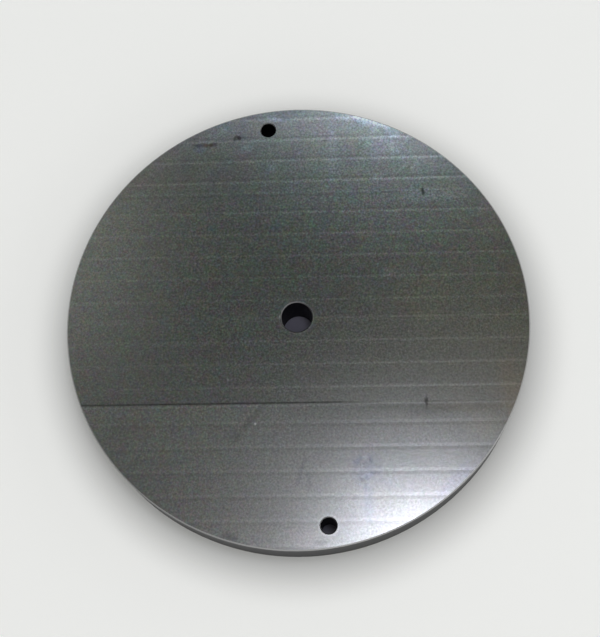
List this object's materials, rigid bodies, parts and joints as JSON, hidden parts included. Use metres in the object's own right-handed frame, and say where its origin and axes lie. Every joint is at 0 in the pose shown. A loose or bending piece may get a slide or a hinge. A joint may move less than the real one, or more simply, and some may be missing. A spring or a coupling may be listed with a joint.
{
  "type": "silicon mirror",
  "caption": "Thick round silicon plate, ground flat on its front face, with a chamfered centre bore and bolt holes near its rim.",
  "frame": {"origin": "axis of the centre bore at the rear face, which is the face that the plate lies on", "axes": "+Z out of the ground front face along the bore axis, +Y from the bore towards one bolt hole, +X to the right of that, seen from the front"},
  "size_m": [0.3, 0.3, 0.03],
  "materials": {
    "ground_silicon": "satin, fine straight-ground silicon"
  },
  "bodies": {
    "root": {"mirror_plate": "ground_silicon"}
  },
  "joints": []
}
